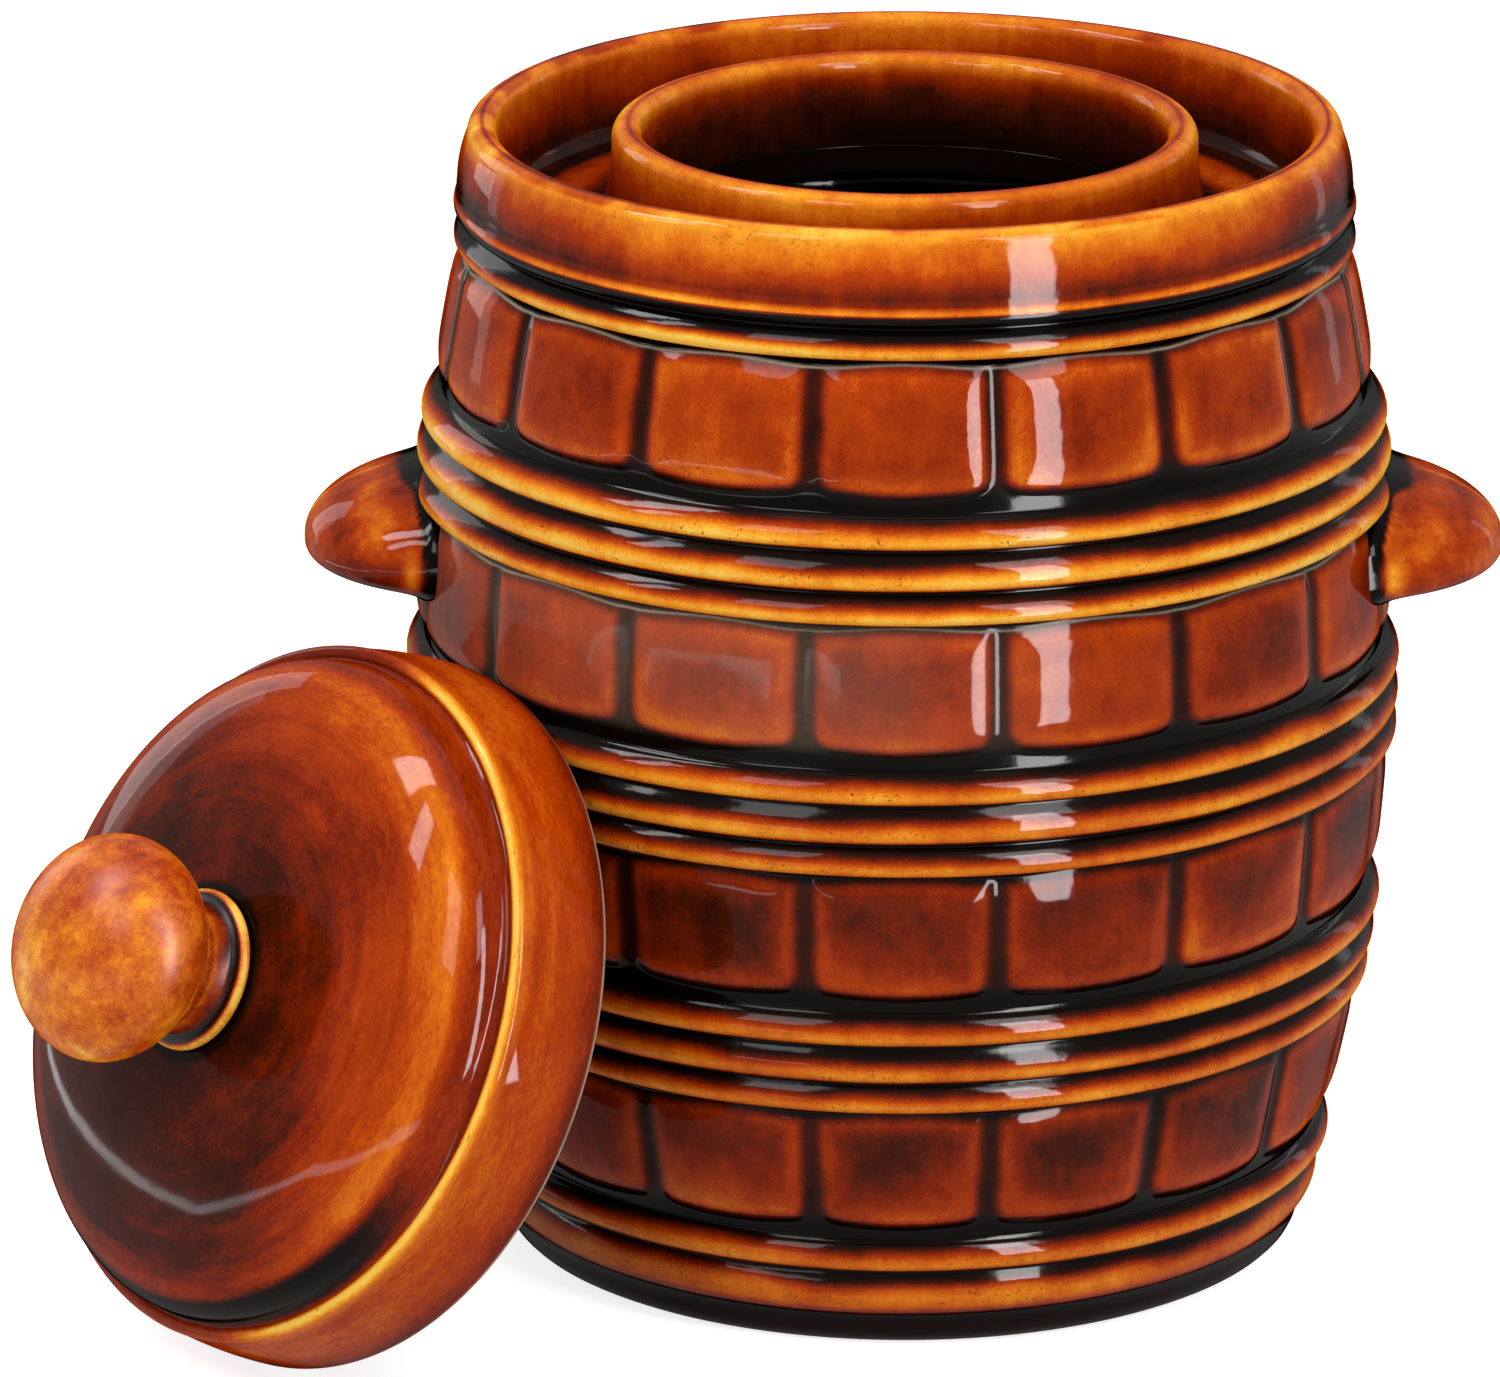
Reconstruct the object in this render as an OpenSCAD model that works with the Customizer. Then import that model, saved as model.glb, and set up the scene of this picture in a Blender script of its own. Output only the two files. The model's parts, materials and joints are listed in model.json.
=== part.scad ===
// Water seal pickle jar: a barrel of stoneware with a water gutter round its neck, a lid
// that stands on its rim against the jar, and two half-moon weight stones on the floor.
// Millimetres, +Z up, the origin in the middle of the flat foot, the front towards -Y.

/* [Barrel] */
// Radius of the barrel at its widest, over the hoops
belly_r = 109; // [106:1:114]
// Height of the widest place above the foot
belly_z = 130; // [120:1:140]
// Radius of the long curve of the staves
stave_arc = 430; // [400:10:600]
// Wall of the barrel, from the top of the hoops to the inside
barrel_wall = 11; // [9:0.5:13]
// Thickness of the barrel's floor
floor_t = 9; // [7:0.5:12]
// Height of the rounded foot below the lowest hoop
foot_h = 7; // [5:0.5:9]
// How far the foot's edge stands in from the staves
foot_inset = 2.5; // [1.5:0.5:4]

/* [Hoops and staves] */
// Rows of stave panels, one above the other
rows = 4; // [3:1:4]
// Panels in one row
staves = 16; // [12:1:20]
// Height of one row
row_h = 32; // [30:0.5:34]
// Height of the outer hoops of a group of three
hoop_h = 7.1; // [6.5:0.1:7.5]
// Height of the middle hoop of a group of three
mid_hoop_h = 8.9; // [8:0.1:10]
// Height of the broad hoop over the foot
foot_hoop_h = 11.4; // [10:0.2:13]
// Depth of the grooves beside a hoop
groove_d = 3.4; // [2.5:0.1:4]
// Depth of the panels below the tops of the hoops
panel_drop = 1.7; // [1.4:0.1:2.2]
// Gap between two panels of a row
panel_gap = 5; // [4:0.5:7]
// Bare band under a row's panels
band_under = 4.4; // [3:0.2:6]
// Bare band over a row's panels
band_over = 2; // [1.5:0.1:3]

/* [Water gutter] */
// How far the gutter collar's hoops stand in from the top of the staves
collar_step = 1; // [0.5:0.1:2.5]
// How far the gutter's lip leans in from its hoops
collar_lean = 3; // [1:0.5:5]
// Height of the gutter's wall over its hoops
collar_h = 13.5; // [11:0.5:18]
// Thickness of the gutter's wall at its lip
collar_wall = 6.5; // [6:0.5:8]
// Thickness of the gutter's floor
gutter_floor = 6; // [5:0.5:8]
// Inner radius of the neck, wide enough for a hand
neck_r = 57; // [55:0.5:60]
// Thickness of the neck's wall at its lip
neck_wall = 6.5; // [5.5:0.5:7]
// How much thicker the neck is at its root
neck_flare = 3.5; // [2:0.5:4]
// How far the neck's lip stays below the gutter's lip
neck_drop = 1; // [0.5:0.5:3]

/* [Lugs] */
// Radius of a lug seen from above
lug_r = 35; // [32:1:38]
// How far a lug stands out of the barrel
lug_out = 23; // [20:0.5:27]
// Height of a lug's top over its edge
lug_top = 17.5; // [15:0.5:20]
// Depth of a lug's underside below its edge
lug_under = 7.5; // [6:0.5:9]
// How far a lug's edge lies below the top row's hoops
lug_below = 11.7; // [9:0.1:15]

/* [Lid] */
// Gap between the lid's skirt and the foot of the neck, the water's way through
skirt_gap = 4; // [3:0.5:6]
// Thickness of the lid's skirt
skirt_wall = 7; // [6:0.5:9]
// Gap between the seated lid's ceiling and the neck's lip
ceiling_gap = 9.3; // [6:0.1:12]
// Height of the dome over its foot, beside the ridge
dome_h = 21.5; // [18:0.5:25]
// Thickness of the dome
dome_wall = 6; // [5:0.5:6.5]
// Rounding of the skirt's lower edge
skirt_round = 2.5; // [1.5:0.5:3]
// Radius of the knob's flattened ball
knob_r = 24.5; // [20:0.5:27]
// Height of the knob's flattened ball
knob_h = 35; // [30:1:44]
// Radius of the knob's stem
stem_r = 14.5; // [11:0.5:17]
// Height of the stem, from the dome to the ball
stem_h = 11; // [8:0.5:14]
// Thickness of the bead round the stem's foot
stem_bead = 3; // [2:0.5:4]

/* [How the lid leans] */
// Angle between the lid's rim and the upright
lid_lean = 24; // [18:1:30]
// Direction that the knob faces, seen from above
lid_turn = -140.7; // [-160:0.1:-120]
// Turn of the touching point from the top of the lid's rim
lid_touch = 12; // [0:1:16]
// Gap between the leaning lid and the barrel
lean_gap = 0.5; // [0.3:0.1:2]
// Gap between the leaning lid and the table
table_gap = 0.2; // [0.1:0.1:0.5]

/* [Weight stones] */
// Gap between a stone's edge and the neck as it is lifted out
stone_gap = 5; // [3:0.5:10]
// Thickness of a stone
stone_t = 18; // [14:1:24]
// Slit between the two stones
stone_slit = 3; // [2:0.5:6]
// Radius of the finger hole where the stones meet
finger_r = 11; // [9:0.5:14]
// Bevel on the stones' edges
stone_bevel = 2; // [1:0.5:3]
// Gap under the stones
stone_rest = 0.2; // [0.1:0.1:0.5]

/* [Hidden] */
$fn = 96;

// Heights from the foot up
first_row_z = foot_h + foot_hoop_h + hoop_h;
group_h = 2 * hoop_h + mid_hoop_h;
row_pitch = row_h + group_h;
shoulder_z = first_row_z + (rows - 1) * row_pitch + row_h;
gutter_z = shoulder_z + gutter_floor;
rim_z = shoulder_z + 2 * hoop_h + collar_h;
neck_z = rim_z - neck_drop;

// Shapes of the hoops, lips and edges
bead_steps = 8;
curve_steps = 10;
bead_power = 0.65;
panel_sink = 1.5;
panel_h = row_h - band_under - band_over;
band_drop = groove_d + 0.4;
stave_angle = 360 / staves;

// Radii round the gutter
shoulder_r = stave_r(shoulder_z);
collar_r = shoulder_r - collar_step;
collar_lip_r = collar_r - collar_lean;
gutter_r = collar_lip_r - collar_wall;
neck_out_r = neck_r + neck_wall;
neck_root_r = neck_out_r + neck_flare;

// Lid, in its own frame with the rim at height 0 and the knob upwards
skirt_in_r = neck_root_r + skirt_gap;
lid_r = skirt_in_r + skirt_wall;
ridge_r = lid_r - 2;
ridge_bead = 1.9;
dome_r = ridge_r - 2 * ridge_bead;
ceiling_r = neck_out_r + 2;
seat_r = stem_r + stem_bead;
ceiling_t = (dome_r - ceiling_r) / (dome_r - seat_r);
ceiling_z = neck_z - gutter_z + ceiling_gap;
dome_z = ceiling_z + dome_wall - dome_h * dome_share(ceiling_t);
skirt_h = dome_z - 0.6;
seat_z = dome_z + dome_h;
ball_z = seat_z + stem_h + knob_h / 2 * sqrt(1 - (stem_r / knob_r) ^ 2);

// Where the leaning lid stands: its rim all but meets the table and the barrel
edge_r = lid_r - skirt_round;
lid_z = edge_r * cos(lid_lean) + skirt_round * (1 - sin(lid_lean)) + table_gap;
lid_side = -edge_r * sin(lid_touch);
lid_out = max([
    for (w = [-12 : 2 : 36], up = [-1 : 0.1 : 1])
        let (
            bulge = skirt_round * sqrt(max(0, 1 - up ^ 2)),
            reach = barrel_r(edge_z(w) + skirt_round * up) + bulge + lean_gap,
            aside = lid_side + edge_r * sin(w)
        )
        edge_r * sin(lid_lean) * cos(w) + sqrt(reach ^ 2 - aside ^ 2)
]) - skirt_round * cos(lid_lean);

// Lugs, under the top row and its hoops
lug_z = first_row_z + (rows - 2) * row_pitch + row_h - lug_below;
lug_centre = stave_r(lug_z) + lug_out - lug_r;

// Weight stones
stone_r = neck_r - stone_gap;
stone_z = floor_t + stone_rest;

// Radius of the staves' curve at a height: an arc of a circle
function stave_r(z) = belly_r - stave_arc + sqrt(stave_arc ^ 2 - (z - belly_z) ^ 2);

// Depth of a hoop's face below its top at a share of its height
function hoop_drop(t) = groove_d * (1 - sin(180 * t) ^ bead_power);

// Depth of a panel's face below the tops of the hoops at a share of its height
function panel_face(t) = panel_drop + 0.9 * abs(2 * t - 1) ^ 3;

// Depth of the barrel's face at a height over the foot of a row
function face_drop(h) =
    h < band_under || (h > row_h - band_over && h < row_h) ? band_drop
    : h < row_h ? panel_face((h - band_under) / panel_h)
    : h < row_h + hoop_h ? hoop_drop((h - row_h) / hoop_h)
    : h < row_h + hoop_h + mid_hoop_h ? hoop_drop((h - row_h - hoop_h) / mid_hoop_h)
    : hoop_drop((h - row_h - hoop_h - mid_hoop_h) / hoop_h);

// Radius of the barrel at a height, over its hoops and the middles of its panels
function barrel_r(z) =
    let (up = z - first_row_z)
    stave_r(z) - face_drop(up - row_pitch * floor(up / row_pitch));

// Height of the middle of the lid's rounded edge, at an angle from the top of its rim
function edge_z(w) = lid_z + edge_r * cos(w) * cos(lid_lean) + skirt_round * sin(lid_lean);

// Outline of a hoop from height z up: out of a groove, round, and short of the next one
function hoop(z, h) = [
    for (i = [0 : bead_steps - 1])
        let (t = i / bead_steps)
        [stave_r(z + h * t) - hoop_drop(t), z + h * t]
];

// The same outline on the upright gutter collar
function collar_hoop(z) = [
    for (i = [0 : bead_steps - 1])
        let (t = i / bead_steps)
        [collar_r - hoop_drop(t), z + hoop_h * t]
];

// Outline of a smooth band along the staves, sunk by drop
function band(z, h, drop, n = 4) = [
    for (i = [0 : n]) [stave_r(z + h * i / n) - drop, z + h * i / n]
];

// Points of an arc round a centre, from one angle to another
function arc(c, r, from, to, n = curve_steps) = [
    for (i = [0 : n])
        let (a = from + (to - from) * i / n)
        [c[0] + r * cos(a), c[1] + r * sin(a)]
];

// Height of the row with this number, counted from the foot
function row_z(row) = first_row_z + row * row_pitch;

function join_lists(lists) = [for (l = lists) each l];

// Outer outline of the barrel without its panels, from the foot up
foot_r = stave_r(foot_h) - foot_inset;
foot_round = foot_h * 0.6;
barrel_outline = join_lists([
    [[0, 0]],
    arc([foot_r - foot_round, foot_round], foot_round, -90, 0, 6),
    hoop(foot_h, foot_hoop_h),
    hoop(foot_h + foot_hoop_h, hoop_h),
    for (row = [0 : rows - 1]) row_outline(row)
]);

// One row's bare band, and the three hoops over it on all rows but the top one
function row_outline(row) = concat(
    band(row_z(row) + 0.5, row_h - 1, band_drop),
    row == rows - 1 ? [[shoulder_r - groove_d, shoulder_z]] : join_lists([
        hoop(row_z(row) + row_h, hoop_h),
        hoop(row_z(row) + row_h + hoop_h, mid_hoop_h),
        hoop(row_z(row) + row_h + hoop_h + mid_hoop_h, hoop_h)
    ])
);

// Inner outline of the barrel, a smooth curve with a rounded corner at the floor
corner_r = 14;
barrel_inside = concat(
    [[0, floor_t]],
    arc([stave_r(floor_t) - barrel_wall - corner_r, floor_t + corner_r], corner_r, -90, 0, 5),
    [
        for (i = [1 : 12])
            let (z = floor_t + corner_r + (shoulder_z - floor_t - corner_r) * i / 12)
            [stave_r(z) - barrel_wall, z]
    ],
    [[stave_r(shoulder_z) - barrel_wall, shoulder_z + 1], [0, shoulder_z + 1]]
);

// Section of one stave panel, a pillow whose foot is sunk in the wall
module panel_section(row) {
    z0 = row_z(row) + band_under;
    n = 6;
    foot = groove_d + panel_sink;
    polygon(concat(
        [[stave_r(z0) - foot, z0]],
        [
            for (i = [0 : n])
                let (t = i / n, z = z0 + 0.6 + (panel_h - 1.2) * t)
                [stave_r(z) - panel_face(t), z]
        ],
        [[stave_r(z0 + panel_h) - foot, z0 + panel_h]]
    ));
}

// The 16 panels of one row, one of them facing the front
module stave_row(row) {
    gap_angle = panel_gap / row_mid_r(row) * 180 / PI;
    for (i = [0 : staves - 1])
        rotate([0, 0, -90 + stave_angle * (i - 0.5) + gap_angle / 2])
            rotate_extrude(angle = stave_angle - gap_angle)
                panel_section(row);
}

function row_mid_r(row) = stave_r(row_z(row) + row_h / 2);

// Barrel outside, with everything that shows on it
module barrel_outside() {
    rotate_extrude() polygon(concat(barrel_outline, [[0, shoulder_z]]));
    for (row = [0 : rows - 1]) stave_row(row);
}

module barrel() {
    color("saddlebrown")
        difference() {
            barrel_outside();
            rotate_extrude() polygon(barrel_inside);
        }
}

// Gutter collar: the two top hoops, the wall that leans in and the gutter's floor
module gutter_collar() {
    lip = collar_wall / 2;
    wall_foot_z = shoulder_z + 2 * hoop_h;
    cove = 4;
    wall_inset = 0.8;
    color("peru")
        rotate_extrude()
            polygon(join_lists([
                [[neck_r, shoulder_z]],
                collar_hoop(shoulder_z),
                collar_hoop(shoulder_z + hoop_h),
                [
                    for (i = [0 : 5])
                        let (t = i / 6)
                        [
                            collar_r - wall_inset - (collar_lean - wall_inset) * t ^ 2,
                            wall_foot_z + (collar_h - lip) * t
                        ]
                ],
                arc([collar_lip_r - lip, rim_z - lip], lip, 0, 180, 12),
                arc([gutter_r - cove, gutter_z + cove], cove, 0, -90, 5),
                [[neck_root_r, gutter_z], [neck_r, gutter_z]]
            ]));
}

// Neck ring, luted onto the gutter's floor round the mouth
module neck_ring() {
    lip = neck_wall / 2;
    color("peru")
        rotate_extrude()
            polygon(join_lists([
                [[neck_r, gutter_z], [neck_root_r, gutter_z]],
                [
                    for (i = [1 : 6])
                        let (t = i / 6)
                        [
                            neck_out_r + neck_flare * (1 - t) ^ 2,
                            gutter_z + (neck_z - lip - gutter_z) * t
                        ]
                ],
                arc([neck_r + lip, neck_z - lip], lip, 15, 180, 11)
            ]));
}

// Section of a lug: an elliptic dome over a flat underside with a full edge
module lug_section() {
    n = 9;
    polygon(concat(
        [
            for (i = [0 : n])
                let (a = 90 * i / n)
                [lug_r * sin(a) ^ (2 / 3), -lug_under * cos(a) ^ (2 / 3)]
        ],
        [
            for (i = [1 : n])
                let (a = 90 * i / n)
                [lug_r * cos(a), lug_top * sin(a)]
        ]
    ));
}

// A lug, turned to its side of the barrel and fitted to the staves and hoops
module lug(side) {
    color("chocolate")
        difference() {
            translate([side * lug_centre, 0, lug_z])
                rotate_extrude() lug_section();
            barrel_outside();
        }
}

module handle_left() {
    lug(-1);
}

module handle_right() {
    lug(1);
}

// Moves the lid's own frame to where the lid leans against the jar
module leaning() {
    rotate([0, 0, lid_turn])
        translate([lid_out, lid_side, lid_z])
            rotate([0, 90 - lid_lean, 0])
                children();
}

// Share of the dome's height at a share of the way from its foot to the knob: steep, then flat
function dome_share(t) = (1 - (1 - t) ^ 1.25) ^ 0.36;

// Height of the dome's outer face
function dome(t) = dome_z + dome_h * dome_share(t);

// Lid without its knob: skirt, ridge and dome in one shell
module lid_cover() {
    n = 14;
    skirt_top_r = ridge_r - 0.4;
    cone_h = skirt_h / 2;
    color("sienna")
        leaning()
            rotate_extrude()
                polygon(join_lists([
                    arc([skirt_in_r + skirt_round, skirt_round], skirt_round, 180, 270, 4),
                    arc([lid_r - skirt_round, skirt_round], skirt_round, -90, 0, 4),
                    [
                        for (i = [1 : 4])
                            let (t = i / 5)
                            [
                                lid_r - (lid_r - skirt_top_r) * t ^ 2,
                                skirt_round + (skirt_h - ridge_bead - skirt_round) * t
                            ]
                    ],
                    arc([ridge_r - ridge_bead, skirt_h - ridge_bead], ridge_bead, 0, 90, 5),
                    [
                        for (i = [0 : n])
                            let (t = (i / n) ^ 2)
                            [dome_r + (seat_r - dome_r) * t, dome(t)]
                    ],
                    [[0, seat_z], [0, seat_z - dome_wall]],
                    [
                        for (i = [0 : 8])
                            let (t = 1 - i / 8)
                            [
                                ceiling_r + (seat_r - ceiling_r) * t,
                                dome(ceiling_t * (1 - t) + t) - dome_wall
                            ]
                    ],
                    [[skirt_in_r - 0.4, cone_h + 1.2], [skirt_in_r, cone_h - 1]]
                ]));
}

// Knob: a bead round the stem's foot, the stem and the flattened ball
module lid_knob() {
    half_bead = stem_bead / 2;
    foot = -acos(stem_r / knob_r);
    n = 24;
    color("darkorange")
        leaning()
            rotate_extrude()
                polygon(join_lists([
                    [[0, seat_z]],
                    arc([seat_r - half_bead, seat_z + half_bead], half_bead, -90, 90, 8),
                    [[stem_r, seat_z + stem_bead + 0.5]],
                    [
                        for (i = [0 : n])
                            let (a = foot + (90 - foot) * i / n)
                            [knob_r * cos(a), ball_z + knob_h / 2 * sin(a)]
                    ]
                ]));
}

// A half-moon stone on its side of the slit, with its half of the finger hole
module stone(side) {
    bevel = stone_bevel;
    color("gray")
        intersection() {
            difference() {
                translate([0, 0, stone_z])
                    rotate_extrude()
                        polygon([
                            [0, 0],
                            [stone_r - bevel, 0],
                            [stone_r, bevel],
                            [stone_r, stone_t - bevel],
                            [stone_r - bevel, stone_t],
                            [0, stone_t]
                        ]);
                translate([0, 0, stone_z - 1])
                    cylinder(r = finger_r, h = stone_t + 2);
            }
            translate([side > 0 ? stone_slit / 2 : -stone_r - 1, -stone_r - 1, 0])
                cube([stone_r + 1 - stone_slit / 2, 2 * stone_r + 2, stone_z + stone_t + 1]);
        }
}

module weight_left() {
    stone(-1);
}

module weight_right() {
    stone(1);
}

barrel();
gutter_collar();
neck_ring();
handle_left();
handle_right();
lid_cover();
lid_knob();
weight_left();
weight_right();
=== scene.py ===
import json

import bpy
import numpy as np
from mathutils import Matrix, Vector


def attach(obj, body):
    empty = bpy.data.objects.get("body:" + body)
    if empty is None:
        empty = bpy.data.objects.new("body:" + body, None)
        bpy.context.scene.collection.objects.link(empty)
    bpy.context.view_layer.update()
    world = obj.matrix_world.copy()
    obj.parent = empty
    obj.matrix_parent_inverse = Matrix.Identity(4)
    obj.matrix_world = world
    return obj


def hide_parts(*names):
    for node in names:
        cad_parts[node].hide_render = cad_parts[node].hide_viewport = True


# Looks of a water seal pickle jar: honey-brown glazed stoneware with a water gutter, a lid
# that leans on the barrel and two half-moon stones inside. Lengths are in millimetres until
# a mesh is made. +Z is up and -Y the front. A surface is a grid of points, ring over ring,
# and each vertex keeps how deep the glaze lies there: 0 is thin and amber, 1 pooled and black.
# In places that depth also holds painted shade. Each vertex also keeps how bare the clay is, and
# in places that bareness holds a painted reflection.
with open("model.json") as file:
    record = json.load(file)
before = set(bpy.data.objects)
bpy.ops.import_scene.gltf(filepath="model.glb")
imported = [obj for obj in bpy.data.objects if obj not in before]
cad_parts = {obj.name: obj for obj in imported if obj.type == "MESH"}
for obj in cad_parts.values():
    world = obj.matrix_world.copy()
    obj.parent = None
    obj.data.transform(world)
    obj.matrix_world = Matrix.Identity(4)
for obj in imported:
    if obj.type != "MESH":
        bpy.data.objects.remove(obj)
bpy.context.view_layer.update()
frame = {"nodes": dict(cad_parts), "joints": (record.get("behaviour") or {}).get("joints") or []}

MM = 0.001

# Barrel
belly_r = 109.0
belly_z = 130.0
stave_arc = 430.0
barrel_wall = 11.0
floor_t = 9.0
foot_h = 7.0
foot_inset = 2.5
foot_round = 4.2
corner_r = 14.0

# Hoops and staves
rows = 4
staves = 16
row_h = 32.0
hoop_h = 7.1
mid_hoop_h = 8.9
foot_hoop_h = 11.4
groove_d = 3.4
panel_drop = 1.7
groove_half = 1.9
band_under = 4.4
first_row_z = foot_h + foot_hoop_h + hoop_h
row_pitch = row_h + 2 * hoop_h + mid_hoop_h
shoulder_z = first_row_z + (rows - 1) * row_pitch + row_h

# Water gutter and neck
collar_step = 1.0
collar_lean = 3.0
collar_h = 13.5
collar_wall = 6.5
gutter_floor = 6.0
neck_r = 57.0
neck_wall = 6.5
neck_flare = 3.5
neck_drop = 1.0
gutter_z = shoulder_z + gutter_floor
wall_z = shoulder_z + 2 * hoop_h
rim_z = wall_z + collar_h
neck_z = rim_z - neck_drop

# Lugs
lug_r = 35.0
lug_out = 22.95
lug_top = 17.5
lug_under = 7.5
lug_below = 11.7
lug_z = first_row_z + (rows - 2) * row_pitch + row_h - lug_below

# Lid, in its own frame with the rim at height 0 and the knob upwards
skirt_in_r = 71.0
lid_r = 77.9
skirt_round = 2.5
ridge_r = 76.0
ridge_bead = 1.9
dome_h = 21.5
dome_wall = 6.0
dome_z = 25.12
dome_slack = 0.1
channel_depth = 0.6
dome_r = ridge_r - 2 * ridge_bead - dome_slack
ceiling_r = 65.5
skirt_h = dome_z - channel_depth
seat_r = 17.5
seat_z = dome_z + dome_h
knob_r = 24.4
knob_h = 34.9
stem_r = 14.5
stem_h = 11.0
stem_bead = 3.0
ball_z = seat_z + stem_h + knob_h / 2 * np.sqrt(1 - (stem_r / knob_r) ** 2)

# Weight stones
stone_r = 52.0
stone_t = 18.0
stone_z = 9.2
stone_slit = 3.0
finger_r = 11.0
stone_bevel = 2.0

# Glaze colours from thin to pooled, as red, green and blue of 255
GLAZE = [
    (0.00, (255, 204, 84)),
    (0.10, (252, 168, 42)),
    (0.25, (226, 116, 20)),
    (0.42, (182, 63, 7)),
    (0.58, (132, 35, 4)),
    (0.74, (71, 21, 6)),
    (0.88, (27, 9, 4)),
    (1.00, (8, 5, 4)),
]
# Colour of bare clay. Where the bareness holds a painted reflection, it paints a pale sheen.
CLAY = (206, 186, 160)
BURNT = (66, 28, 10)
GLAZE_GLOSS = 0.05


def smooth(x, low, high):
    """A share that rises from 0 at low to 1 at high along an S curve."""
    t = np.clip((x - low) / (high - low), 0, 1)
    return t * t * (3 - 2 * t)


def drift(angle, height, seed, finest=7):
    """A slow wander of about -1 to 1 round the jar: a sum of sines of angle and height."""
    rng = np.random.default_rng(seed)
    total = 0
    for turns in range(1, finest + 1):
        phase, climb = rng.uniform(0, 2 * np.pi), rng.uniform(-0.05, 0.05)
        total = total + np.sin(turns * angle + climb * height + phase) / np.sqrt(turns)
    return total / 2


def arc(centre, radius, start, end, count):
    """Radii and heights of an arc round a centre, from one angle in degrees to another."""
    a = np.radians(np.linspace(start, end, count))
    return centre[0] + radius * np.cos(a), centre[1] + radius * np.sin(a)


def stretch(r, z, glaze, clay=0.0):
    """One stretch of a section: its radii, heights, depths of glaze and bareness."""
    return np.stack(np.broadcast_arrays(r, z, glaze, clay), axis=1).astype(float)


def turned(r, z, angles):
    """A section turned about +Z: (r cos a, r sin a, z) for each of its rows and each angle."""
    r, z, angles = np.broadcast_arrays(r, z, angles)
    return np.stack([r * np.cos(angles), r * np.sin(angles), z], axis=-1)


def brushed(points, angles, reach=22.0):
    """Where a brush that goes round the axis passes.

    That is (reach cos a, reach sin a, length along the section), so clouds stretch round the lid.
    """
    steps = np.linalg.norm(np.diff(points[:, 0], axis=0), axis=1)
    along = np.concatenate([[0], np.cumsum(steps)])[:, None]
    return turned(reach, along, angles)


def ring_quads(count, columns, closed=False):
    """The faces between neighbouring rings of a grid whose columns wrap round."""
    ring = np.arange(columns)
    after = (ring + 1) % columns
    low = np.arange(count if closed else count - 1)[:, None] * columns
    high = (low + columns) % (count * columns)
    return np.stack([low + ring, low + after, high + after, high + ring], axis=-1).reshape(-1, 4).tolist()


def shell(name, points, glaze, clay, closed_section=False, place=None, own=None):
    """A mesh of rings whose columns wrap round. The rings end in two poles, or the section closes.

    place turns the points from the piece's own frame to the jar's. The mesh keeps the points in
    the own frame, or the places that are given instead, in metres as "own".
    """
    count, columns = points.shape[:2]
    first_ring, last_ring = points[0], points[-1]
    own = (points if own is None else own).reshape(-1, 3)
    points = points.reshape(-1, 3)
    values = [np.broadcast_to(v, (count, columns)).reshape(-1) for v in (glaze, clay)]
    faces = ring_quads(count, columns, closed_section)
    if not closed_section:
        points = np.vstack([points, first_ring.mean(0), last_ring.mean(0)])
        own = np.vstack([own, own[0], own[-1]])
        values = [np.append(v, [v[0], v[-1]]) for v in values]
        ring = np.arange(columns)
        after = (ring + 1) % columns
        first, last, top = count * columns, count * columns + 1, (count - 1) * columns
        faces += np.stack([first + 0 * ring, after, ring], axis=-1).tolist()
        faces += np.stack([top + ring, top + after, last + 0 * ring], axis=-1).tolist()
    return mesh_piece(name, points, faces, values, place, own)


def in_scene(name, data):
    """A new object with its data, linked to the scene."""
    made = bpy.data.objects.new(name, data)
    bpy.context.scene.collection.objects.link(made)
    return made


def mesh_piece(name, points, faces, values, place=None, own=None):
    """A smooth mesh object from points in its own frame, with their own places and values."""
    world = points if place is None else points @ place[0] + place[1]
    own = points if own is None else own
    mesh = bpy.data.meshes.new(name)
    mesh.from_pydata((world * MM).tolist(), [], faces)
    mesh.polygons.foreach_set("use_smooth", np.ones(len(mesh.polygons), bool))
    local = mesh.attributes.new("own", "FLOAT_VECTOR", "POINT")
    local.data.foreach_set("vector", (own * MM).astype(np.float32).ravel())
    for key, value in zip(("glaze", "clay"), values):
        mesh.attributes.new(key, "FLOAT", "POINT").data.foreach_set("value", value.astype(np.float32))
    mesh.update()
    return in_scene(name, mesh)


def finish_piece(piece, material, body, node):
    """The piece takes its material, rides on its body and stands for its node."""
    piece.data.materials.append(material)
    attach(piece, body)
    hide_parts(node)


def stave_r(z):
    """Radius of the staves' curve at a height: an arc of a circle."""
    return belly_r - stave_arc + np.sqrt(stave_arc ** 2 - (z - belly_z) ** 2)


def hoop_drop(t):
    """Depth of a hoop's face at a share of its height, its grooves part filled with glaze."""
    pool, soft = 2.6, 3.0
    low_crest = np.clip(t, 0, 1) ** 0.72
    bare = groove_d * (1 - np.sin(np.pi * low_crest) ** 0.65)
    return -np.log(np.exp(-soft * bare) + np.exp(-soft * pool)) / soft


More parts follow.
